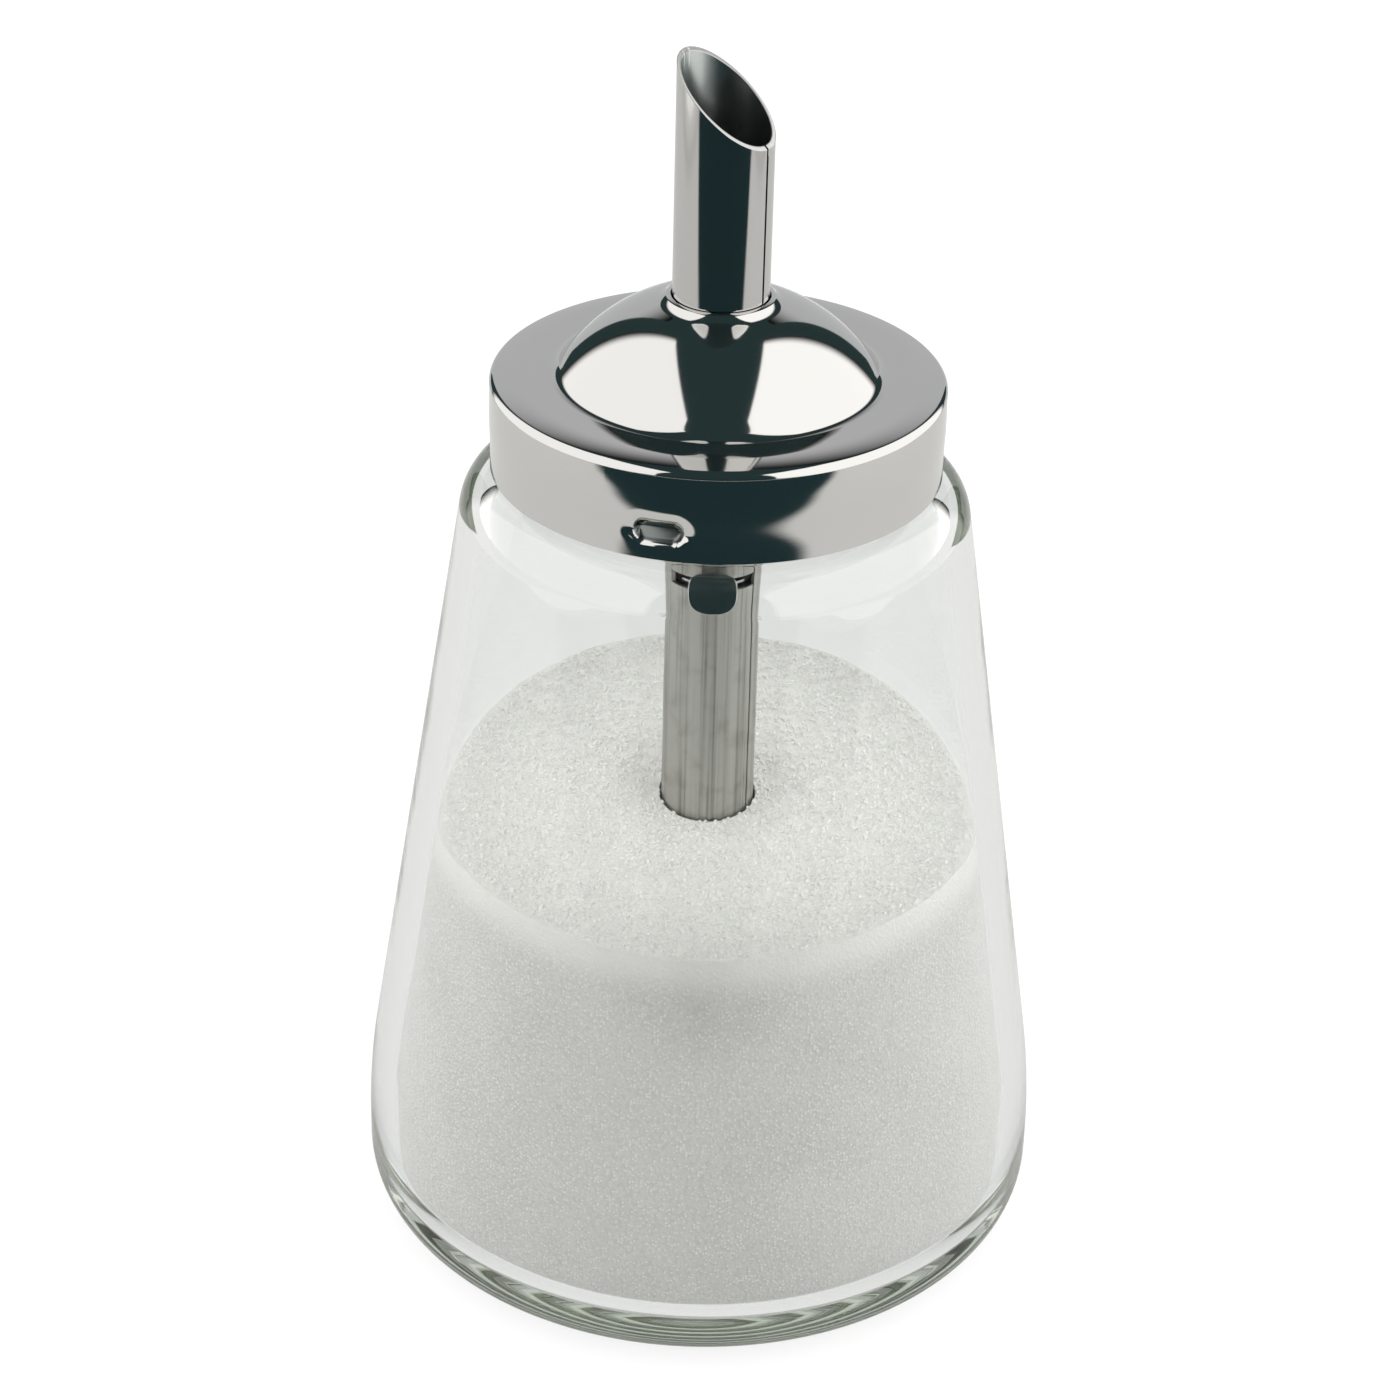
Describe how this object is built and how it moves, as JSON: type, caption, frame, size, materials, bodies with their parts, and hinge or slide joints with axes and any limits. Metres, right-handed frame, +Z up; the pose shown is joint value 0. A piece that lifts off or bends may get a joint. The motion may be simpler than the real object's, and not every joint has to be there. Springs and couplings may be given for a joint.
{
  "type": "sugar dispenser",
  "caption": "Tapered clear glass jar of sugar with a polished screw cap, domed top, slanted rolled pouring tube and a gravity flap inside the tube.",
  "frame": {"origin": "centre of the jar's base, on the table", "axes": "+Z up along the jar's axis and the pouring tube; -Y is the front, towards the viewer of the picture; +X is the viewer's right"},
  "size_m": [0.0794, 0.0794, 0.1419],
  "materials": {
    "clear_glass": "gloss",
    "white_sugar": "matte",
    "soft_seal": "satin",
    "polished_cap": "polished",
    "plain_steel": "satin",
    "polished_tube": "polished",
    "polished_flap": "polished"
  },
  "bodies": {
    "jar": {"glass_jar": "clear_glass", "sugar_fill": "white_sugar"},
    "seal": {"seal_ring": "soft_seal"},
    "cap": {"cap_shell": "polished_cap", "tube_ferrule": "plain_steel", "spout_tube": "polished_tube"},
    "flap": {"spout_flap": "polished_flap"}
  },
  "joints": [
    {"name": "cap_lift", "type": "slide", "parent": "jar", "child": "seal", "axis": [0, 0, 1], "range_m": [0, 0.0019]},
    {"name": "cap_turn", "type": "hinge", "parent": "seal", "child": "cap", "pos_m": [0, 0, 0.1], "axis": [0, 0, 1], "range_deg": [0, 75]},
    {"name": "flap_swing", "type": "hinge", "parent": "cap", "child": "flap", "pos_m": [0, -0.00507, 0.08215], "axis": [1, 0, 0], "range_deg": [0, 30]}
  ],
  "couplings": [
    {"joint": "cap_lift", "follows": "cap_turn", "m_per_rad": 0.0014324}
  ]
}
